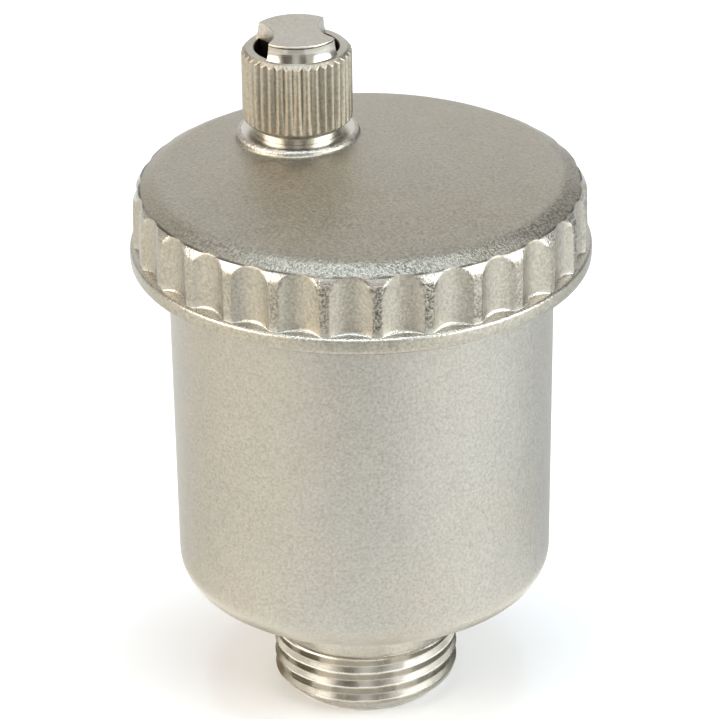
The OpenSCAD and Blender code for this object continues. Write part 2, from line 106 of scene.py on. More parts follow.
def arc(centre_r, centre_z, radius, start, end, steps):
    """Radius and height of points along an arc, angles in degrees."""
    return [(centre_r + radius * math.cos(math.radians(a)), centre_z + radius * math.sin(math.radians(a)))
            for a in np.linspace(start, end, steps)]


def skin(name, bands, closed=True):
    """Mesh through rings given as (ring, finish), the finish one for the ring or one for each column; it goes
    up to the next ring. A closed skin meets its first ring again, and an open one gets flat ends."""
    points = np.array([band[0] for band in bands])
    rows, columns = points.shape[:2]
    index = np.arange(rows * columns).reshape(rows, columns)
    above = np.roll(index, -1, axis=0)
    quads = np.stack([index, np.roll(index, -1, axis=1), np.roll(above, -1, axis=1), above], axis=-1)
    finish = np.concatenate([np.broadcast_to(band[1], columns) for band in bands])
    if not closed:
        quads, finish = quads[:-1], finish[:-columns]
    faces = quads.reshape(-1, 4).tolist()
    if not closed:
        faces += [index[0][::-1].tolist(), index[-1].tolist()]
        finish = np.append(finish, [finish[0], finish[-1]])
    mesh = bpy.data.meshes.new(name)
    mesh.from_pydata((points.reshape(-1, 3) * MM).tolist(), [], faces)
    mesh.polygons.foreach_set("material_index", finish.astype(np.int32))
    mesh.polygons.foreach_set("use_smooth", np.ones(len(faces), bool))
    mesh.set_sharp_from_angle(angle=SHARP_ANGLE)
    piece = bpy.data.objects.new(name, mesh)
    bpy.context.scene.collection.objects.link(piece)
    return piece


def thread_cut(angles, height, pitch, depth, start=0.0, bend=0.15):
    """Depth of a right-hand thread under its crest at each column, with rounded crests and roots."""
    far = np.abs(2.0 * np.mod(height / pitch - angles / (2.0 * np.pi) + start, 1.0) - 1.0)
    near = np.minimum(far, 1.0 - far)
    part = (np.sqrt(near ** 2 + bend ** 2) - bend) / (2.0 * (math.sqrt(0.25 + bend ** 2) - bend))
    return depth * np.where(far < 0.5, part, 1.0 - part)


def cup_bands():
    """Rings from the inlet's end face up the outside, over the rim and down the chamber."""
    a = turns(CUP_COLUMNS)
    bands = [(ring(a, inlet_bore_r, 0.0), TURNED)]
    for z in np.arange(0.0, neck_z - 0.01, INLET_ROW):
        cut = thread_cut(a, z, inlet_pitch, inlet_depth, inlet_start, inlet_bend)
        relief = inlet_r - inlet_depth * ramp(z, inlet_relief_z, inlet_relief_run)
        r = np.minimum(np.minimum(inlet_r - cut, relief), inlet_r - inlet_chamfer + z)
        # Crest rows take a lighter material: a painted highlight along each crest line.
        bands.append((ring(a, r, z), np.where(cut < inlet_highlight_cut, CREST_HIGHLIGHT, THREADED)))
    bands += [(ring(a, r, neck_z), THREADED) for r in (inlet_r - inlet_depth + 0.1, neck_r - neck_edge_r)]
    neck = arc(neck_r - neck_edge_r, neck_z + neck_edge_r, neck_edge_r, -60, 0, 3)
    neck.append((neck_r, neck_z + neck_wall_h))
    neck += arc(neck_r + neck_fillet_r, cup_bottom_z - neck_fillet_r, neck_fillet_r, 180, 90, 5)
    bands += [(ring(a, r, z), NECK_LIT) for r, z in neck]
    corner_z = cup_bottom_z + cup_corner_r
    wall = [(r, cup_bottom_z) for r in np.linspace(neck_r + 1.0, cup_low_r - cup_corner_r - 0.5, 6)]
    wall += arc(cup_low_r - cup_corner_r, corner_z, cup_corner_r, -90, 0, 14)
    wall += [(cup_low_r + (cup_top_r - cup_low_r) * t, corner_z + (cup_shoulder_z - corner_z) * t)
             for t in np.linspace(0.0, 1.0, CUP_WALL_ROWS)[1:]]
    bands += [(ring(a, r, z), BLASTED) for r, z in wall]
    for z in np.arange(cup_shoulder_z, rim_z - rim_chamfer, COVER_THREAD_ROW):
        bands.append((ring(a, cover_thread_r - thread_cut(a, z, cover_pitch, cover_thread_depth), z), TURNED))
    root_r = cover_thread_r - cover_thread_depth
    inside = [(root_r, rim_z - rim_outer_edge), (root_r - rim_outer_edge, rim_z),
              (chamber_r + rim_inner_edge, rim_z), (chamber_r, rim_z - rim_inner_edge)]
    inside += [(chamber_r, z) for z in np.linspace(rim_z - 2.0, floor_z + chamber_corner_r, 12)]
    inside += arc(chamber_r - chamber_corner_r, floor_z + chamber_corner_r, chamber_corner_r, 0, -90, 7)[1:]
    inside += [(inlet_bore_r + inlet_bore_chamfer, floor_z), (inlet_bore_r, floor_z - inlet_bore_chamfer)]
    inside += [(inlet_bore_r, z) for z in np.linspace(floor_z - 3.0, 1.0, 6)]
    bands += [(ring(a, r, z), TURNED) for r, z in inside]
    return bands


def mark(piece, name, values):
    """Writes one value for each vertex, for a material to read."""
    piece.data.attributes.new(name, "FLOAT", "POINT").data.foreach_set("value", values.astype(np.float32))


def paint_corner_light(piece):
    """Marks the cup's lower corner for painted light, which lightens its colour against the shade it reflects
    from the floor under the cup.
    """
    height = np.array([v.co.z for v in piece.data.vertices]) / MM
    mark(piece, "rub_and_light", 1.0 - ramp(height, cup_bottom_z + corner_light_h, corner_light_run))


def shader(name):
    """New material, with its node tree, its Principled shader and its object coordinates."""
    material = bpy.data.materials.new(name)
    material.use_nodes = True
    tree = material.node_tree
    principled = tree.nodes["Principled BSDF"]
    place = tree.nodes.new("ShaderNodeTexCoord").outputs["Object"]
    return material, tree, principled, place


def grain(tree, place, scale, detail, roughness=0.5):
    """Noise over the object, with a scale in grains per metre."""
    noise = tree.nodes.new("ShaderNodeTexNoise")
    noise.inputs["Scale"].default_value = scale
    noise.inputs["Detail"].default_value = detail
    noise.inputs["Roughness"].default_value = roughness
    tree.links.new(place, noise.inputs["Vector"])
    return noise.outputs["Fac"]


def marked(tree, name):
    """Value that the mesh holds for each vertex."""
    attribute = tree.nodes.new("ShaderNodeAttribute")
    attribute.attribute_name = name
    return attribute.outputs["Fac"]


def combine(tree, operation, first, second):
    """Result of a named operation on two values."""
    join = tree.nodes.new("ShaderNodeMath")
    join.operation = operation
    tree.links.new(first, join.inputs[0])
    tree.links.new(second, join.inputs[1])
    return join.outputs[0]


def spread(tree, value, low, high, at=(0.3, 0.7)):
    """Values from low to high where the source goes between two limits."""
    remap = tree.nodes.new("ShaderNodeMapRange")
    for socket, number in zip(("From Min", "From Max", "To Min", "To Max"), (*at, low, high)):
        remap.inputs[socket].default_value = number
    tree.links.new(value, remap.inputs["Value"])
    return remap.outputs["Result"]


def tint(tree, value, low, high):
    """Colour between two tones, each a fixed colour or an earlier result."""
    mix = tree.nodes.new("ShaderNodeMix")
    mix.data_type = "RGBA"
    for socket, tone in (("A", low), ("B", high)):
        if isinstance(tone, tuple):
            mix.inputs[socket].default_value = (*tone, 1.0)
        else:
            tree.links.new(tone, mix.inputs[socket])
    tree.links.new(value, mix.inputs["Factor"])
    return mix.outputs["Result"]


def vary(tree, principled, pattern, dark, light, smooth, rough):
    """Colour and roughness that follow one pattern."""
    tree.links.new(tint(tree, spread(tree, pattern, 0.0, 1.0), dark, light), principled.inputs["Base Color"])
    tree.links.new(spread(tree, pattern, smooth, rough), principled.inputs["Roughness"])


def dent(tree, principled, height, depth, before=None):
    """Bump of a height given in metres, over an earlier bump."""
    bump = tree.nodes.new("ShaderNodeBump")
    bump.inputs["Strength"].default_value = 1.0
    bump.inputs["Distance"].default_value = depth
    tree.links.new(height, bump.inputs["Height"])
    if before is not None:
        tree.links.new(before, bump.inputs["Normal"])
    tree.links.new(bump.outputs["Normal"], principled.inputs["Normal"])
    return bump.outputs["Normal"]


BLAST_GRAINS, PATCH_GRAINS, STAIN_GRAINS, SCAR_GRAINS = 3000.0, 240.0, 85.0, 3400.0
SOOT_PATCHES, SHADE_BREAKS = 130.0, 300.0
PATCH_SHARE = 0.14
PATCH_DEPTH, SCAR_DEPTH = 0.00003, 0.00012
WARM_STAIN = (1.01, 0.99, 0.955)
SOOT_AND_SHADE_SHARE = 0.28
BLAST_ROUGH = 0.08


def blasted_nickel(name, dark, light, rough, pits=0.00006, worn=False, rub_and_light_tone=(0.56, 0.535, 0.475), smooth=0.6):
    """Nickel plate over a sand-blasted forging: fine sparkling grain, a faint mottle and warm stains. A worn
    one reads from its mesh where it is scarred and dirty, where painted shade darkens a crease, and where it
    is worn smooth and lightened with painted light, and those last places have their own colour."""
    material, tree, principled, place = shader(name)
    principled.inputs["Metallic"].default_value = 1.0
    fine = grain(tree, place, BLAST_GRAINS, 3.0, 0.6)
    patch = grain(tree, place, PATCH_GRAINS, 4.0, 0.6)
    both = tree.nodes.new("ShaderNodeMath")
    both.operation = "MULTIPLY_ADD"
    both.inputs[1].default_value = PATCH_SHARE
    tree.links.new(patch, both.inputs[0])
    tree.links.new(fine, both.inputs[2])
    shade = spread(tree, both.outputs[0], 0.0, 1.0, (0.32, 0.82))
    warm = [tuple(part * share for part, share in zip(tone, WARM_STAIN)) for tone in (dark, light)]
    stain = spread(tree, grain(tree, place, STAIN_GRAINS, 3.0), 0.0, 1.0, (0.42, 0.66))
    colour = tint(tree, stain, tint(tree, shade, dark, light), tint(tree, shade, *warm))
    matt = spread(tree, fine, rough - BLAST_ROUGH, rough + BLAST_ROUGH)
    last = dent(tree, principled, fine, pits, dent(tree, principled, patch, PATCH_DEPTH))
    if worn:
        wear, crease_shade, rub_and_light = [marked(tree, kind) for kind in ("wear", "crease_shade", "rub_and_light")]
        scars = grain(tree, place, SCAR_GRAINS, 4.0, 0.62)
        dent(tree, principled, combine(tree, "MULTIPLY", scars, wear), SCAR_DEPTH, last)
        soot = combine(tree, "MULTIPLY", spread(tree, scars, 1.0, 0.0, (0.41, 0.57)), wear)
        patchy = spread(tree, grain(tree, place, SOOT_PATCHES, 2.0), 0.3, 1.0, (0.4, 0.62))
        # The crease mark is painted shade along the crease, broken up by noise.
        broken = spread(tree, grain(tree, place, SHADE_BREAKS, 3.0), 0.2, 1.0, (0.34, 0.5))
        soot_and_shade = combine(tree, "MAXIMUM", combine(tree, "MULTIPLY", soot, patchy),
                       combine(tree, "MULTIPLY", crease_shade, broken))
        # Lighter tone where the mesh is marked: real wear on the steep bevel, painted light on the ledges and
        # the cup's corner.
        colour = tint(tree, rub_and_light, colour, rub_and_light_tone)
        # Darker by soot in the scars and by painted shade along the crease.
        colour = tint(tree, soot_and_shade, colour, tuple(SOOT_AND_SHADE_SHARE * part for part in dark))
        matt = combine(tree, "MULTIPLY", matt, spread(tree, rub_and_light, 1.0, smooth, (0.0, 1.0)))
    tree.links.new(colour, principled.inputs["Base Color"])
    tree.links.new(matt, principled.inputs["Roughness"])
    return material


TOOL_LINES, HAZE_GRAINS = 9000.0, 420.0
ROUND_THE_AXIS = (0.001, 0.001, 1.0)


def turned_nickel(name, dark, light, rough, tool=0.000006):
    """Nickel plate over a turned surface: fine tool lines round the axis and a slight haze."""
    material, tree, principled, place = shader(name)
    principled.inputs["Metallic"].default_value = 1.0
    stretch = tree.nodes.new("ShaderNodeVectorMath")
    stretch.operation = "MULTIPLY"
    stretch.inputs[1].default_value = ROUND_THE_AXIS
    tree.links.new(place, stretch.inputs[0])
    lines = grain(tree, stretch.outputs["Vector"], TOOL_LINES, 2.0)
    haze = grain(tree, place, HAZE_GRAINS, 3.0)
    vary(tree, principled, haze, dark, light, rough - 0.05, rough + 0.08)
    dent(tree, principled, lines, tool)
    return material


def coat(piece, *materials):
    """Puts materials on a piece, in the order of its finishes."""
    for material in materials:
        piece.data.materials.append(material)


cup = skin("cup", cup_bands())
# Painted light: the cup's lower corner is lightened towards a light tone, with its roughness left as it is.
paint_corner_light(cup)
coat(cup,
     blasted_nickel("cup_blasted_nickel", (0.330, 0.310, 0.269), (0.513, 0.488, 0.434), 0.46, worn=True,
                    rub_and_light_tone=(0.70, 0.67, 0.60), smooth=1.0),
     turned_nickel("cup_turned_nickel", (0.50, 0.46, 0.37), (0.66, 0.62, 0.53), 0.22),
     turned_nickel("inlet_thread_nickel", (0.43, 0.40, 0.34), (0.55, 0.52, 0.455), 0.25, 0.000001),
     # Painted highlight: the crests' lighter copy of the thread's nickel.
     turned_nickel("inlet_crest_highlight_nickel", (0.74, 0.71, 0.64), (0.84, 0.81, 0.74), 0.24, 0.000001),
     # Painted light: the neck's blasted nickel is lighter than the cup's, against the shade under the cup's
     # overhang.
     blasted_nickel("neck_lit_blasted_nickel", (0.495, 0.47, 0.415), (0.705, 0.675, 0.605), 0.44))
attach(cup, "cup")
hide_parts("body")

# Seals
# Moulded black rubber: the O-ring under the cover, the washer under the vent cap's plug and the disc
# on the obturator. They keep their solids and get a dull, slightly dusty surface.


def moulded_rubber(name):
    """Dull black rubber with a trace of dust."""
    material, tree, principled, place = shader(name)
    dust = grain(tree, place, 900.0, 4.0)
    vary(tree, principled, dust, (0.018, 0.018, 0.019), (0.045, 0.044, 0.043), 0.5, 0.72)
    dent(tree, principled, grain(tree, place, 4000.0, 2.0), 0.00002)
    return material


def finish_nodes(material, names):
    """Gives CAD pieces that keep their solids a material."""
    for name in names:
        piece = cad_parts[name]
        piece.data.materials.clear()
        piece.data.materials.append(material)


finish_nodes(moulded_rubber("moulded_rubber"), ("cover_o_ring", "cap_washer", "obturator_seal"))

# Float
# Blow-moulded polypropylene float with a welded lid, hung on the lever by a brass eye. The plastic is
# off-white, a little waxy and faintly translucent.


def float_plastic(name):
    """Waxy off-white plastic with flow marks."""
    material, tree, principled, place = shader(name)
    flow = grain(tree, place, 160.0, 5.0)
    vary(tree, principled, flow, (0.72, 0.70, 0.63), (0.84, 0.82, 0.76), 0.34, 0.5)
    principled.inputs["Subsurface Weight"].default_value = 0.12
    principled.inputs["Subsurface Radius"].default_value = (0.002, 0.0018, 0.0014)
    dent(tree, principled, grain(tree, place, 2200.0, 3.0), 0.00002)
    return material


finish_nodes(float_plastic("float_plastic"), ("float_shell", "float_lid"))

# Valve brass
# Small turned brass pieces left bare: the seat pressed into the cover, the obturator's stem and the
# float's eye.


def bare_brass(name):
    """Turned brass with a light tarnish."""
    material, tree, principled, place = shader(name)
    principled.inputs["Metallic"].default_value = 1.0
    tarnish = grain(tree, place, 700.0, 4.0)
    vary(tree, principled, tarnish, (0.52, 0.36, 0.14), (0.80, 0.62, 0.32), 0.22, 0.38)
    dent(tree, principled, grain(tree, place, 5000.0, 2.0), 0.00001)
    return material


finish_nodes(bare_brass("bare_brass"), ("valve_seat", "obturator_stem", "float_eye"))

# Lever work
# Stamped and turned stainless pieces: the lever and its bracket, their pins, clips and screws, and the
# spring and clip on the stem.


def bright_steel(name):
    """Bright stainless sheet and wire with fine rolling marks."""
    material, tree, principled, place = shader(name)
    principled.inputs["Metallic"].default_value = 1.0
    marks = grain(tree, place, 1500.0, 4.0)
    vary(tree, principled, marks, (0.50, 0.50, 0.51), (0.66, 0.66, 0.67), 0.2, 0.36)
    dent(tree, principled, marks, 0.000012)
    return material


finish_nodes(bright_steel("bright_steel"),
             ("lever", "lever_bracket", "bracket_screws", "lever_pivot_pin", "pivot_pin_clips", "stem_spring",
              "spring_retainer", "stem_link_pin", "float_link_pin"))

# Screw cover
# Forged fluted cover, blasted and plated like the cup. The boss is spot-faced and the collar and spigot
# are turned about the vent's own axis, so the rings of the top slide across from one axis to the other.
FLUTES = 28
SPOT_FACED = 2
HALF_FLUTE = (0.035, 0.11, 0.185, 0.25, 0.305, 0.345, 0.374, 0.396, 0.416, 0.442, 0.477)
BEVEL_ROWS, DOME_ROWS = 17, 18
SPIGOT_ROW, SCREW_ROW = 1.0 / 6.0, 0.375
flute_phase = math.radians(10.6)
flute_r = 3.75
flute_depth = 0.85
flute_blend = 0.05
flute_run_out = 0.5
run_out_share = 0.6
ledge_slope = 0.3
land_r = 25.15
lip_r = 25.59
lip_z = cup_shoulder_z
ledge_z = 55.6
lip_fillet = 0.7
lip_edge_r = 0.4
land_z = 60.4
crease_r, crease_z = 24.45, 62.3
bevel_swell = 2.2
bevel_stop = 0.96
bevel_blend = 0.07
bend_start = 0.64
dome_edge_r, dome_edge_z = 22.52, 63.38
dome_edge_bend = 0.6
dome_slope = math.radians(7.0)
dome_r = dome_edge_r / math.sin(dome_slope)
crown_z = dome_edge_z + dome_r * (1.0 - math.cos(dome_slope))
ceiling_z = 60.7
screw_bore_r = 20.15
screw_thread_depth = 0.25
vent_x = -11.1
boss_r = 6.9
boss_z = crown_z + 0.45
boss_chamfer = 0.5
boss_edge_r = 0.55
boss_foot = 0.35
collar_r = 5.05
collar_z = boss_z + 0.85
collar_groove = 0.06
collar_edge = 0.12
spigot_r = 3.95
spigot_pitch = 1.0
spigot_depth = 0.55
mouth_z = 72.2
mouth_edge = 0.1
spring_bore_r = 2.3
guide_r = 1.1
seat_bore_r = 2.4
seat_top_z = ceiling_z + 1.7
worn_side = math.radians(20.0)
ledge_light_share = 0.6
flat_bevel_rest = 0.3


def soft_min(a, b, blend):
    """Smaller of two values, rounded where they cross."""
    low = np.minimum(a, b)
    return low - blend * np.log(np.exp((low - a) / blend) + np.exp((low - b) / blend))


def scooped(angles, first, count, reach, radius, beyond=99.0):
    """Radius at which rays meet the nearest of some round scoops set about the axis."""
    step = 2.0 * np.pi / count
    off = np.mod(angles - first + step / 2.0, step) - step / 2.0
    centre = reach + radius
    inside = radius ** 2 - (centre * np.sin(off)) ** 2
    return np.where(inside > 0.0, centre * np.cos(off) - np.sqrt(np.maximum(inside, 0.0)), beyond)


def dome_height(points):
    """Height of the domed top under some points."""
    reach = points[:, 0] ** 2 + points[:, 1] ** 2
    return crown_z - dome_r + np.sqrt(dome_r ** 2 - reach)


def flute_turns():
    """Angles of the cover's columns, closest together at the flutes' edges."""
    half = np.array(HALF_FLUTE)
    one = np.concatenate([-half[::-1], half])
    return (flute_phase + (np.arange(FLUTES)[:, None] + one) * 2.0 * np.pi / FLUTES).ravel()


def skirt_bands(a, wall):
    """Rings of the lip, the ledge above it and the fluted wall."""
    lip = arc(lip_r - lip_fillet, lip_z + lip_fillet, lip_fillet, -90, 0, 6)
    lip += arc(lip_r - lip_edge_r, ledge_z - lip_edge_r, lip_edge_r, 0, 80, 5)
    bands = [(ring(a, r, z), BLASTED) for r, z in lip]
    edge_r, edge_z = lip[-1]
    run_out = np.minimum(run_out_share * (edge_r - wall), flute_run_out)
    ledge = ledge_slope * (edge_r - wall - run_out)
    for t in np.linspace(0.0, 1.0, 5)[1:-1]:
        bands.append((ring(a, edge_r + (wall + run_out - edge_r) * t, edge_z + ledge * t), BLASTED))
    for angle in np.radians(np.linspace(15.0, 90.0, 6)):
        rise = ledge + run_out * (1.0 - math.cos(angle))
        bands.append((ring(a, wall + run_out * (1.0 - math.sin(angle)), edge_z + rise), BLASTED))
    for z in np.linspace(edge_z + flute_run_out + 0.4, land_z, 4)[:-1]:
        bands.append((ring(a, wall, z), BLASTED))
    return bands


def top_bands(a, wall):
    """Rings of the two bevels, and of the dome as far as the boss's foot."""
    bevels = [(land_r + (crease_r - land_r) * t ** bevel_swell, land_z + (crease_z - land_z) * t)
              for t in np.linspace(0.0, bevel_stop, BEVEL_ROWS)]
    middle_r = crease_r + (dome_edge_r - crease_r) * bend_start
    middle_z = crease_z + (dome_edge_z - crease_z) * bend_start
    bevels += [(crease_r + (middle_r - crease_r) * t, crease_z + (middle_z - crease_z) * t)
               for t in np.linspace(0.0, 1.0, 10)[:-1] ** 1.3]
    inner_r = dome_edge_r - dome_edge_bend
    inner_z = crown_z - dome_r + math.sqrt(dome_r ** 2 - inner_r ** 2)
    bevels += [((1.0 - t) ** 2 * middle_r + 2.0 * t * (1.0 - t) * dome_edge_r + t * t * inner_r,
                (1.0 - t) ** 2 * middle_z + 2.0 * t * (1.0 - t) * dome_edge_z + t * t * inner_z)
               for t in np.linspace(0.0, 1.0, 9)[:-1]]
    bands = [(ring(a, soft_min(r, wall, bevel_blend), z), BLASTED) for r, z in bevels]
    rim = ring(a, inner_r, 0.0)
    foot = ring(a, boss_r + boss_foot, 0.0, vent_x)
    for t in np.linspace(0.0, 1.0, DOME_ROWS):
        row = rim + (foot - rim) * t
        row[:, 2] = dome_height(row)
        bands.append((row, BLASTED))
    for t in (0.3, 0.6, 0.85, 1.0):
        row = ring(a, boss_r + boss_foot * (1.0 - t), 0.0, vent_x)
        row[:, 2] = dome_height(row) + boss_foot * (1.0 - math.sqrt(1.0 - t * t))
        bands.append((row, BLASTED))
    return bands


def vent_bands(a):
    """Rings of the boss, the collar, the spigot's thread and the passage down to the seat."""
    edge = [(boss_r, boss_z - boss_chamfer + 0.02)]
    edge += arc(boss_r - boss_edge_r, boss_z - boss_edge_r, boss_edge_r, 15, 65, 5)
    bands = [(ring(a, r, z, vent_x), SPOT_FACED) for r, z in edge]
    turned = [(boss_r - boss_chamfer - 0.05, boss_z), (collar_r + collar_groove, boss_z),
              (collar_r + collar_groove, boss_z - collar_groove), (collar_r, boss_z - collar_groove),
              (collar_r, collar_z - collar_edge), (collar_r - collar_edge, collar_z),
              (spigot_r - spigot_depth, collar_z)]
    bands += [(ring(a, r, z, vent_x), TURNED) for r, z in turned]
    for z in np.arange(collar_z + 0.1, mouth_z - 0.3, SPIGOT_ROW):
        bands.append((ring(a, spigot_r - thread_cut(a, z, spigot_pitch, spigot_depth), z, vent_x), TURNED))
    passage = [(spigot_r - 0.6, mouth_z - 0.05), (spigot_r - 0.7, mouth_z),
               (spring_bore_r + mouth_edge, mouth_z), (spring_bore_r, mouth_z - mouth_edge),
               (spring_bore_r, boss_z), (guide_r, boss_z), (guide_r, seat_top_z),
               (seat_bore_r, seat_top_z), (seat_bore_r, ceiling_z)]
    return bands + [(ring(a, r, z, vent_x), TURNED) for r, z in passage]


def cover_bands():
    """Rings from the underside of the lip up the flutes, over the dome, through the spigot and down the
    cover's own thread."""
    a = flute_turns()
    wall = soft_min(land_r, scooped(a, flute_phase, FLUTES, land_r - flute_depth, flute_r), flute_blend)
    bands = [(ring(a, screw_bore_r, lip_z), TURNED), (ring(a, cup_top_r + 1.0, lip_z), BLASTED)]
    bands += skirt_bands(a, wall) + top_bands(a, wall) + vent_bands(a)
    hole = ring(a, seat_bore_r + 0.2, ceiling_z, vent_x)
    corner = ring(a, screw_bore_r, ceiling_z)
    bands += [(hole + (corner - hole) * t, BLASTED) for t in (0.0, 0.35, 0.7)]
    bands.append((corner, TURNED))
    for z in np.arange(ceiling_z - 0.3, lip_z, -SCREW_ROW):
        cut = thread_cut(a, z, cover_pitch, screw_thread_depth)
        bands.append((ring(a, screw_bore_r + screw_thread_depth - cut, z), TURNED))
    return bands


def mark_wear_and_painted_light(piece):
    """Marks how worn the flat bevel and the lands are, a line of painted shade along the crease, the steep
    bevel, which hands and tumbling have worn smooth, and the ledge, smoothed and lightened with painted light."""
    points = np.array([v.co for v in piece.data.vertices]) / MM
    reach = np.hypot(points[:, 0], points[:, 1])
    height = points[:, 2]
    angle = np.arctan2(points[:, 1], points[:, 0])
    side = np.clip(0.5 + 0.8 * np.cos(angle - worn_side), 0.12, 1.0)
    scoop = scooped(angle, flute_phase, FLUTES, land_r - flute_depth, flute_r)
    skirt = np.interp(height, [land_z, crease_z, dome_edge_z], [land_r, crease_r, dome_edge_r])
    over_ledge = ramp(height, ledge_z + 0.3, 0.3)
    worn = over_ledge * ramp(reach, dome_edge_r - 0.4, 0.7) * ramp(scoop - skirt, -0.05, 0.15)
    # Painted shade: a dark line along the crease on the worn places.
    crease = np.exp(-((reach - crease_r + 0.1) / 0.13) ** 2) * (height > crease_z - 0.05)
    steep = ramp(height, land_z + 0.95, 0.3) * (height < crease_z - 0.02)
    flat = ramp(height, crease_z, 0.1)
    # Painted light: the ledge under the flutes is lightened, and smoothed as well.
    ledge = ramp(height, ledge_z - 0.35, 0.2) * (1.0 - over_ledge) * (reach > screw_bore_r + 1.0)
    mark(piece, "wear", worn * side * (1.0 - steep) * (1.0 - flat_bevel_rest * flat))
    mark(piece, "crease_shade", worn * crease)
    mark(piece, "rub_and_light", np.maximum(worn * steep, ledge_light_share * ledge))


cover = skin("screw_cover", cover_bands())
mark_wear_and_painted_light(cover)
coat(cover,
     blasted_nickel("cover_blasted_nickel", (0.287, 0.267, 0.222), (0.518, 0.483, 0.41), 0.38, worn=True),
     turned_nickel("cover_turned_nickel", (0.59, 0.56, 0.495), (0.72, 0.69, 0.62), 0.27),
     blasted_nickel("boss_edge_nickel", (0.41, 0.387, 0.344), (0.61, 0.587, 0.535), 0.32, 0.00012))
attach(cover, "screw_cover")
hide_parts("cover")

# Vent cap
# Turned brass sleeve with a straight knurl, plated after knurling, screwed on the spigot. The teeth are
# rounded over and chamfered at both ends.
TEETH = 36
KNURLED, BORED, FACED = 0, 1, 2
CAP_COLUMNS = TEETH * 14
cap_low, cap_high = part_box("vent_cap")
cap_r = 6.15
cap_z = cap_low.z / MM
cap_top_z = cap_high.z / MM
cap_chamfer = 0.5
knurl_depth = 0.35
knurl_phase = math.radians(2.9)
knurl_round = 1.7
knurl_foot, knurl_fade = 0.62, 4.0
knurl_blend = 0.02
cap_bore_r = 4.1
cap_bore_chamfer = 0.3
plug_r = 4.7
plug_gap = 0.02
plug_seat_z = cap_top_z - 2.0


def cap_bands():
    """Rings from the sleeve's bore out under its foot, up the knurl and down the plug's seat."""
    a = turns(CAP_COLUMNS)
    tooth = (a - knurl_phase) * TEETH / (2.0 * np.pi)
    valley = np.abs(np.mod(tooth + 0.5, 1.0) - 0.5) * 2.0
    cut = knurl_depth * (0.9 + 0.1 * np.sin(2.6 * np.floor(tooth))) * valley ** knurl_round

    def knurl(z):
        return cap_r - cut * (knurl_foot + (1.0 - knurl_foot) * ramp(z, cap_z, knurl_fade))

    bands = [(ring(a, cap_bore_r, cap_z + cap_bore_chamfer, vent_x), BORED),
             (ring(a, cap_bore_r + cap_bore_chamfer, cap_z, vent_x), KNURLED),
             (ring(a, cap_r - cap_chamfer - 0.05, cap_z, vent_x), KNURLED)]
    for t in np.linspace(0.0, 1.0, 7):
        r = soft_min(knurl(cap_z), cap_r - cap_chamfer + cap_chamfer * t, knurl_blend)
        bands.append((ring(a, r, cap_z + cap_chamfer * t, vent_x), KNURLED))
    for z in np.linspace(cap_z + cap_chamfer + 0.1, cap_top_z - cap_chamfer - 0.1, 10):
        bands.append((ring(a, knurl(z), z, vent_x), KNURLED))
    for t in np.linspace(1.0, 0.0, 7):
        r = soft_min(knurl(cap_top_z), cap_r - cap_chamfer + cap_chamfer * t, knurl_blend)
        bands.append((ring(a, r, cap_top_z - cap_chamfer * t, vent_x), KNURLED if t > 0.0 else FACED))
    seat_r = plug_r + plug_gap
    inside = [(plug_r + 0.12, cap_top_z), (seat_r, cap_top_z - 0.1), (seat_r, plug_seat_z),
              (cap_bore_r, plug_seat_z), (cap_bore_r, (plug_seat_z + cap_z) / 2.0)]
    bands += [(ring(a, r, z, vent_x), BORED) for r, z in inside]
    return bands


cap = skin("vent_cap_sleeve", cap_bands())
coat(cap,
     blasted_nickel("cap_knurl_nickel", (0.30, 0.272, 0.22), (0.52, 0.48, 0.405), 0.43, 0.00003),
     # Painted shade: the bore and the plug's seat are near black, for the dark opening round the plug.
     turned_nickel("cap_bore_painted_shade", (0.05, 0.044, 0.032), (0.12, 0.105, 0.08), 0.45),
     turned_nickel("cap_face_nickel", (0.45, 0.42, 0.355), (0.56, 0.525, 0.455), 0.42))
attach(cap, "cap")
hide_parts("vent_cap")

# Cap plug
# Turned plug with a flared head, pressed into the sleeve and standing proud of it, with two opposite
# scallops that let the air out. Its round side is polished, and its top and scallops are left blasted.
PLUG_COLUMNS = 384
SUNK = 2
plug_low, plug_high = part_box("cap_plug")
head_r = 4.85
head_flare = 0.35
groove_depth = 0.18
groove_h = 0.2
groove_edge = 0.03
scallop_angle = math.radians(62.8)
scallop_r = 4.8
scallop_reach = 2.6
scallop_blend = 0.03
plug_edge = 0.14
shank_edge = 0.1


def plug_bands():
    """Rings from the plug's underside to its top."""
    a = turns(PLUG_COLUMNS)
    bite = scooped(a, scallop_angle, 2, scallop_reach, scallop_r)
    low, high = plug_low.z / MM, plug_high.z / MM
    shank = soft_min(plug_r, bite, scallop_blend)
    side = np.where(bite < head_r, BLASTED, TURNED)
    bands = [(ring(a, shank * 0.1, low, vent_x), SUNK), (ring(a, shank - shank_edge, low, vent_x), SUNK)]
    bands += [(ring(a, shank, z, vent_x), SUNK) for z in (low + shank_edge, cap_top_z - 0.1)]
    groove_z = high - plug_edge - groove_h
    for t in np.linspace(0.0, 1.0, 10):
        head = soft_min(head_r + head_flare * (1.0 - t) ** 2, bite, scallop_blend)
        bands.append((ring(a, head, cap_top_z + (groove_z - cap_top_z) * t, vent_x), side))
    head = soft_min(head_r, bite, scallop_blend)
    neck = soft_min(head_r - groove_depth, bite, scallop_blend)
    bands += [(ring(a, neck, groove_z + h, vent_x), side) for h in (groove_edge, groove_h - groove_edge)]
    for angle in np.radians([0.0, 25.0, 50.0, 75.0, 90.0]):
        r = head - plug_edge * (1.0 - math.cos(angle))
        bands.append((ring(a, r, high - plug_edge + plug_edge * math.sin(angle), vent_x), BLASTED))
    bands += [(ring(a, (head - plug_edge) * t, high, vent_x), BLASTED) for t in (0.97, 0.6, 0.3, 0.05)]
    return bands


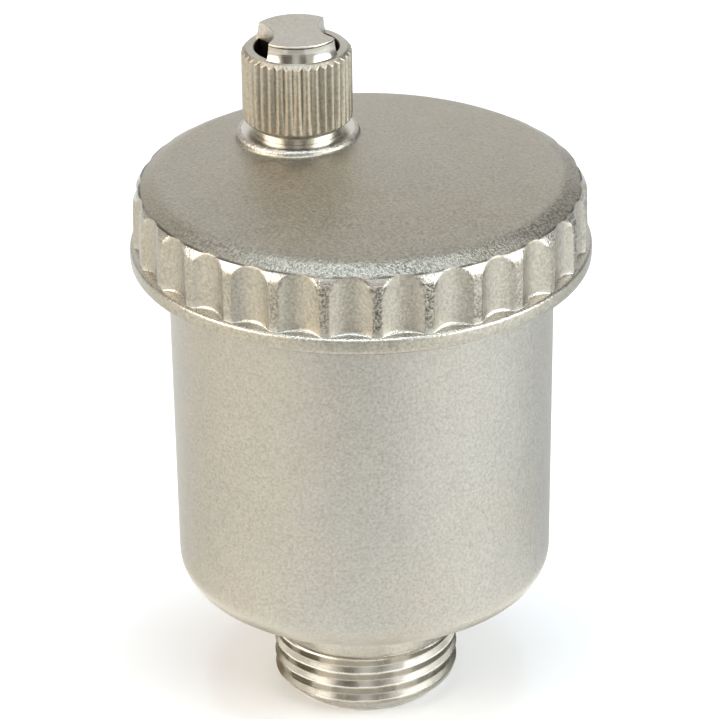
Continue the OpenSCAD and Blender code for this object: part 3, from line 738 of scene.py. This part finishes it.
plug = skin("cap_plug_disc", plug_bands(), closed=False)
coat(plug,
     blasted_nickel("plug_blasted_nickel", (0.44, 0.412, 0.362), (0.63, 0.595, 0.53), 0.42),
     turned_nickel("plug_turned_nickel", (0.39, 0.363, 0.312), (0.53, 0.50, 0.44), 0.18),
     # Painted shade: the shank inside the sleeve is near black, for the dark gap between plug and sleeve.
     turned_nickel("plug_shank_painted_shade", (0.05, 0.044, 0.032), (0.14, 0.12, 0.09), 0.45))
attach(plug, "cap")
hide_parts("cap_plug")

# Floor, light and camera
# Plain white studio: a pale floor that keeps the shadow, a white surround, a softbox overhead and one on
# either side of the camera, and cards that only reflections see. The camera stands where the photograph
# was taken from.
CAMERA_AZIMUTH = math.radians(51.83)
CAMERA_ELEVATION = math.radians(26.95)
CAMERA_ROLL = math.radians(0.7)
CAMERA_DISTANCE = 0.520
AIM_HEIGHT = 0.038
IMAGE_WIDTH, IMAGE_HEIGHT = 720.0, 719.0
FOCAL_PIXELS = 4623.0
AIM_PIXEL = (362.6, 379.3)
FLOOR_HALF = 3.0

floor_mesh = bpy.data.meshes.new("floor")
floor_corners = [(x * FLOOR_HALF, y * FLOOR_HALF, 0) for x, y in ((-1, -1), (1, -1), (1, 1), (-1, 1))]
floor_mesh.from_pydata(floor_corners, [], [(0, 1, 2, 3)])
floor = bpy.data.objects.new("floor", floor_mesh)
bpy.context.scene.collection.objects.link(floor)
floor_paint, floor_tree, floor_shader, floor_place = shader("floor_paint")
floor_tone = tint(floor_tree, grain(floor_tree, floor_place, 3.0, 2.0), (0.95, 0.95, 0.95), (0.97, 0.97, 0.97))
floor_tree.links.new(floor_tone, floor_shader.inputs["Base Color"])
floor_shader.inputs["Roughness"].default_value = 0.9
floor.data.materials.append(floor_paint)

away = Vector((-math.sin(CAMERA_AZIMUTH), math.cos(CAMERA_AZIMUTH), 0.0))
right = Vector((math.cos(CAMERA_AZIMUTH), math.sin(CAMERA_AZIMUTH), 0.0))
aim = Vector((0.0, 0.0, AIM_HEIGHT))


def softbox(name, place, size, power, colour):
    """Rectangular area light at a place given as right, away and up from the aim point."""
    lamp = bpy.data.lights.new(name, "AREA")
    lamp.shape = "RECTANGLE"
    lamp.size, lamp.size_y = size
    lamp.energy = power
    lamp.color = colour
    box = bpy.data.objects.new(name, lamp)
    box.location = aim + right * place[0] + away * place[1] + Vector((0.0, 0.0, place[2]))
    box.rotation_euler = (aim - box.location).to_track_quat("-Z", "Y").to_euler()
    bpy.context.scene.collection.objects.link(box)


softbox("top_softbox", (0.0, -0.04, 1.1), (0.5, 0.45), 4.7, (0.66, 0.83, 1.0))
softbox("left_softbox", (-0.85, -0.35, 0.42), (0.8, 0.7), 7.0, (1.0, 0.90, 0.78))
softbox("right_softbox", (0.85, -0.35, 0.40), (0.8, 0.7), 9.0, (0.90, 0.96, 1.0))

CARD_STEPS = 24
FAR = 1.2
ON_FLOOR, OVER_FLOOR = 0.0004, 0.0006


def flag(name, start, end, low, high, tone, glow=0.0):
    """Curved card from one angle off the camera to another, seen in reflections only. Its lower and upper
    edges are given as distance from the axis and height, and a card given a glow, as those of the lit table
    are, is painted light."""
    spots = [math.radians(t) for t in np.linspace(start, end, CARD_STEPS + 1)]
    mesh = bpy.data.meshes.new(name)
    mesh.from_pydata([(*((right * math.sin(t) - away * math.cos(t)) * reach).xy, height)
                      for reach, height in (low, high) for t in spots], [],
                     [(i, i + 1, i + CARD_STEPS + 2, i + CARD_STEPS + 1) for i in range(CARD_STEPS)])
    card = bpy.data.objects.new(name, mesh)
    bpy.context.scene.collection.objects.link(card)
    material, tree, principled, place = shader(name)
    principled.inputs["Base Color"].default_value = (*tone, 1.0)
    principled.inputs["Emission Color"].default_value = (*tone, 1.0)
    principled.inputs["Emission Strength"].default_value = glow
    principled.inputs["Roughness"].default_value = 0.9
    mesh.materials.append(material)
    card.visible_camera = card.visible_diffuse = card.visible_shadow = card.visible_transmission = False


flag("back_flag", 150.0, 210.0, (FAR, 1.0), (FAR, 2.4), (0.58, 0.57, 0.54))
flag("right_back_flag", 100.0, 150.0, (FAR, 0.0), (FAR, 2.0), (0.25, 0.25, 0.25))
flag("left_back_flag", 210.0, 258.0, (FAR, 0.0), (FAR, 2.0), (0.48, 0.45, 0.40))
flag("left_front_flag", -38.0, -10.0, (FAR, 0.0), (FAR, 0.9), (0.14, 0.12, 0.10))
flag("right_front_flag", 7.0, 24.0, (FAR, 0.0), (FAR, 0.9), (0.14, 0.12, 0.10))
# The floor cards and the sectors under the cup are painted reflections of the floor: their darker tones are
# painted shade and the glowing ones painted light.
flag("front_floor_card", -24.0, 20.0, (0.09, ON_FLOOR), (0.6, ON_FLOOR), (0.52, 0.52, 0.50))
flag("left_floor_card", -115.0, -35.0, (0.04, ON_FLOOR), (0.5, ON_FLOOR), (0.90, 0.86, 0.78))
flag("right_floor_card", 98.0, 165.0, (0.03, ON_FLOOR), (0.4, ON_FLOOR), (0.66, 0.67, 0.67))
flag("lit_table_card", -40.0, 40.0, (0.026, OVER_FLOOR), (0.038, OVER_FLOOR), (0.92, 0.90, 0.86), 0.4)
flag("lit_table_side_card", 40.0, 320.0, (0.026, OVER_FLOOR), (0.038, OVER_FLOOR), (0.92, 0.90, 0.86), 1.0)
flag("left_low_flag", -112.0, -76.0, (FAR, 0.0), (FAR, 0.28), (0.22, 0.20, 0.17))
flag("right_low_flag", 76.0, 112.0, (FAR, 0.0), (FAR, 0.28), (0.24, 0.23, 0.21))
for start, end, tone, glow in (
        (-150.0, -84.0, (0.30, 0.25, 0.18), 0.0), (-84.0, -72.0, (0.75, 0.70, 0.62), 0.0),
        (-72.0, -46.0, (0.22, 0.19, 0.14), 0.0), (-46.0, -28.0, (0.88, 0.85, 0.78), 0.14),
        (-28.0, 10.0, (0.62, 0.61, 0.58), 0.0), (10.0, 24.0, (0.45, 0.45, 0.43), 0.0),
        (24.0, 44.0, (0.86, 0.86, 0.83), 0.10), (44.0, 62.0, (0.42, 0.42, 0.40), 0.0),
        (62.0, 98.0, (0.23, 0.23, 0.21), 0.0), (98.0, 150.0, (0.12, 0.11, 0.10), 0.0)):
    flag(f"under_floor_card_{start:.0f}", start, end, (0.011, ON_FLOOR), (0.030, ON_FLOOR), tone, glow)

world = bpy.data.worlds.new("white_surround")
bpy.context.scene.world = world
world.use_nodes = True
surround = world.node_tree
surround_light = surround.nodes["Background"]
surround_light.inputs["Color"].default_value = (1.0, 1.0, 1.0, 1.0)
path = surround.nodes.new("ShaderNodeLightPath")
seen = combine(surround, "MAXIMUM", path.outputs["Is Camera Ray"], path.outputs["Is Glossy Ray"])
through = combine(surround, "MAXIMUM", seen, path.outputs["Is Transmission Ray"])
surround.links.new(spread(surround, through, 0.66, 1.0, (0.0, 1.0)), surround_light.inputs["Strength"])

lens = bpy.data.cameras.new("camera")
lens.sensor_fit = "HORIZONTAL"
lens.sensor_width = 36.0
lens.lens = FOCAL_PIXELS * lens.sensor_width / IMAGE_WIDTH
lens.shift_x = (IMAGE_WIDTH / 2.0 - AIM_PIXEL[0]) / IMAGE_WIDTH
lens.shift_y = (AIM_PIXEL[1] - IMAGE_HEIGHT / 2.0) / IMAGE_WIDTH
lens.clip_start = 0.01
camera = bpy.data.objects.new("camera", lens)
back = (-away * math.cos(CAMERA_ELEVATION) + Vector((0.0, 0.0, math.sin(CAMERA_ELEVATION)))).normalized()
up = back.cross(right)
roll_right = right * math.cos(CAMERA_ROLL) - up * math.sin(CAMERA_ROLL)
roll_up = right * math.sin(CAMERA_ROLL) + up * math.cos(CAMERA_ROLL)
camera.matrix_world = Matrix((
    (roll_right.x, roll_up.x, back.x, aim.x + back.x * CAMERA_DISTANCE),
    (roll_right.y, roll_up.y, back.y, aim.y + back.y * CAMERA_DISTANCE),
    (roll_right.z, roll_up.z, back.z, aim.z + back.z * CAMERA_DISTANCE),
    (0.0, 0.0, 0.0, 1.0)))
bpy.context.scene.collection.objects.link(camera)
bpy.context.scene.camera = camera
bpy.context.scene.view_settings.view_transform = "Standard"
